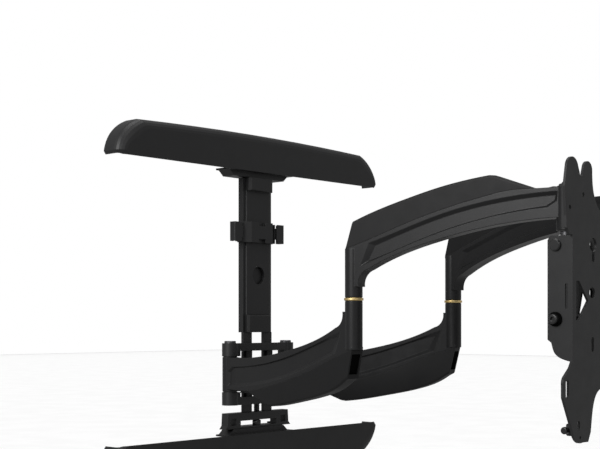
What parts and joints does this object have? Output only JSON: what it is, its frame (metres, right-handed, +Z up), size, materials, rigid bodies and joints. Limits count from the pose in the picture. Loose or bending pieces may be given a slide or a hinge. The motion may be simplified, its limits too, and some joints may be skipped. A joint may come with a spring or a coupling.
{
  "type": "full motion tv wall mount",
  "caption": "Wall mount for a flat screen: wall rails and covers, a height-adjusted carriage, folding twin arms with brass elbow washers, and a tilting slotted plate.",
  "frame": {"origin": "on the wall, at the centre of the slots for the lag bolts", "axes": "+X to the right when facing the wall, +Y into the wall, +Z up; the screen is on the -Y side"},
  "size_m": [0.49, 0.5472, 0.442],
  "materials": {
    "steel_black": "satin black powder coat on pressed steel",
    "arm_metal": "satin black powder coat on cast aluminium",
    "arm_cover": "fine-textured black plastic",
    "cover_plastic": "fine-textured black plastic",
    "rubber_black": "black rubber",
    "brass": "satin brass",
    "pin_steel": "turned steel",
    "fastener_black": "black oxide",
    "bush_nylon": "dark nylon",
    "spring_steel": "spring wire"
  },
  "bodies": {
    "wall_frame": {"upper_wall_rail": "steel_black", "lower_wall_rail": "steel_black", "upper_cover": "cover_plastic", "lower_cover": "cover_plastic", "column_spine": "steel_black", "column_cover": "cover_plastic", "column_block": "cover_plastic", "knockout_plug": "cover_plastic", "cable_clip": "cover_plastic", "lower_yoke": "steel_black", "frame_screws": "fastener_black"},
    "height_screw": {"height_screw": "fastener_black"},
    "carriage": {"arm_carriage": "steel_black", "carriage_glides": "bush_nylon", "wall_pivot_pins": "pin_steel"},
    "left_wall_arm": {"left_wall_link": "arm_metal", "left_wall_fairing": "arm_cover", "left_wall_end_plug": "rubber_black", "left_elbow_washer": "brass", "left_elbow_pin": "pin_steel", "left_wall_bushes": "bush_nylon"},
    "left_screen_arm": {"left_screen_link": "arm_metal", "left_screen_fairing": "arm_cover", "left_screen_end_plug": "rubber_black", "left_elbow_bushes": "bush_nylon", "left_screen_bushes": "bush_nylon"},
    "right_wall_arm": {"right_wall_link": "arm_metal", "right_wall_fairing": "arm_cover", "right_wall_end_plug": "rubber_black", "right_elbow_washer": "brass", "right_elbow_pin": "pin_steel", "right_wall_bushes": "bush_nylon"},
    "right_screen_arm": {"right_screen_link": "arm_metal", "right_screen_fairing": "arm_cover", "right_screen_end_plug": "rubber_black", "right_elbow_bushes": "bush_nylon", "right_screen_bushes": "bush_nylon"},
    "crosshead": {"crosshead_beam": "steel_black", "crosshead_screws": "fastener_black", "screen_pivot_pins": "pin_steel", "left_tilt_plate": "steel_black", "right_tilt_plate": "steel_black"},
    "head": {"screen_plate": "steel_black", "tilt_bolts": "fastener_black", "left_tension_washer": "rubber_black", "left_tension_spacer": "pin_steel", "left_latch_housing": "cover_plastic", "left_latch_spring": "spring_steel", "right_tension_washer": "rubber_black", "right_tension_spacer": "pin_steel", "right_latch_housing": "cover_plastic", "right_latch_spring": "spring_steel"},
    "left_tension_bolt": {"left_tension_bolt": "fastener_black"},
    "left_latch": {"left_latch_plunger": "fastener_black"},
    "right_tension_bolt": {"right_tension_bolt": "fastener_black"},
    "right_latch": {"right_latch_plunger": "fastener_black"}
  },
  "joints": [
    {"name": "height_adjust", "type": "slide", "parent": "wall_frame", "child": "carriage", "axis": [0, 0, 1], "range_m": [-0.01, 0.01]},
    {"name": "height_screw_turn", "type": "hinge", "parent": "wall_frame", "child": "height_screw", "pos_m": [0, -0.0155, -0.12], "axis": [0, 0, 1], "range_deg": [-1805, 1805]},
    {"name": "arm_fold", "type": "hinge", "parent": "carriage", "child": "left_wall_arm", "pos_m": [-0.053, -0.019, 0], "axis": [0, 0, -1], "range_deg": [-6.6, 75.4]},
    {"name": "left_elbow", "type": "hinge", "parent": "left_wall_arm", "child": "left_screen_arm", "pos_m": [-0.09844, -0.26178, 0], "axis": [0, 0, 1], "range_deg": [-13.4, 151]},
    {"name": "left_screen_pivot", "type": "hinge", "parent": "left_screen_arm", "child": "crosshead", "pos_m": [-0.053, -0.50457, 0], "axis": [0, 0, -1], "range_deg": [-6.8, 75.6]},
    {"name": "right_shoulder", "type": "hinge", "parent": "carriage", "child": "right_wall_arm", "pos_m": [0.053, -0.019, 0], "axis": [0, 0, 1], "range_deg": [-6.8, 75.6]},
    {"name": "right_elbow", "type": "hinge", "parent": "right_wall_arm", "child": "right_screen_arm", "pos_m": [0.09844, -0.26178, 0], "axis": [0, 0, -1], "range_deg": [-13.4, 151]},
    {"name": "tilt", "type": "hinge", "parent": "crosshead", "child": "head", "pos_m": [0, -0.529, 0.049], "axis": [1, 0, 0], "range_deg": [-5, 10]},
    {"name": "left_tension_turn", "type": "hinge", "parent": "head", "child": "left_tension_bolt", "pos_m": [-0.117, -0.529, -0.023], "axis": [-1, 0, 0], "range_deg": [-180, 180]},
    {"name": "left_latch_pull", "type": "slide", "parent": "head", "child": "left_latch", "axis": [-1, 0, 0], "range_m": [0, 0.005], "stiffness_N_per_m": 600, "springref_m": -0.004, "deforming": ["left_latch_spring"]},
    {"name": "right_tension_turn", "type": "hinge", "parent": "head", "child": "right_tension_bolt", "pos_m": [0.117, -0.529, -0.023], "axis": [1, 0, 0], "range_deg": [-180, 180]},
    {"name": "right_latch_pull", "type": "slide", "parent": "head", "child": "right_latch", "axis": [1, 0, 0], "range_m": [0, 0.005], "stiffness_N_per_m": 600, "springref_m": -0.004, "deforming": ["right_latch_spring"]}
  ],
  "couplings": [
    {"joint": "height_screw_turn", "follows": "height_adjust", "rad_per_m": 3141.6},
    {"joint": "left_elbow", "follows": "arm_fold", "ratio": 2},
    {"joint": "left_screen_pivot", "follows": "arm_fold", "ratio": 1},
    {"joint": "right_shoulder", "follows": "arm_fold", "ratio": 1},
    {"joint": "right_elbow", "follows": "arm_fold", "ratio": 2}
  ]
}
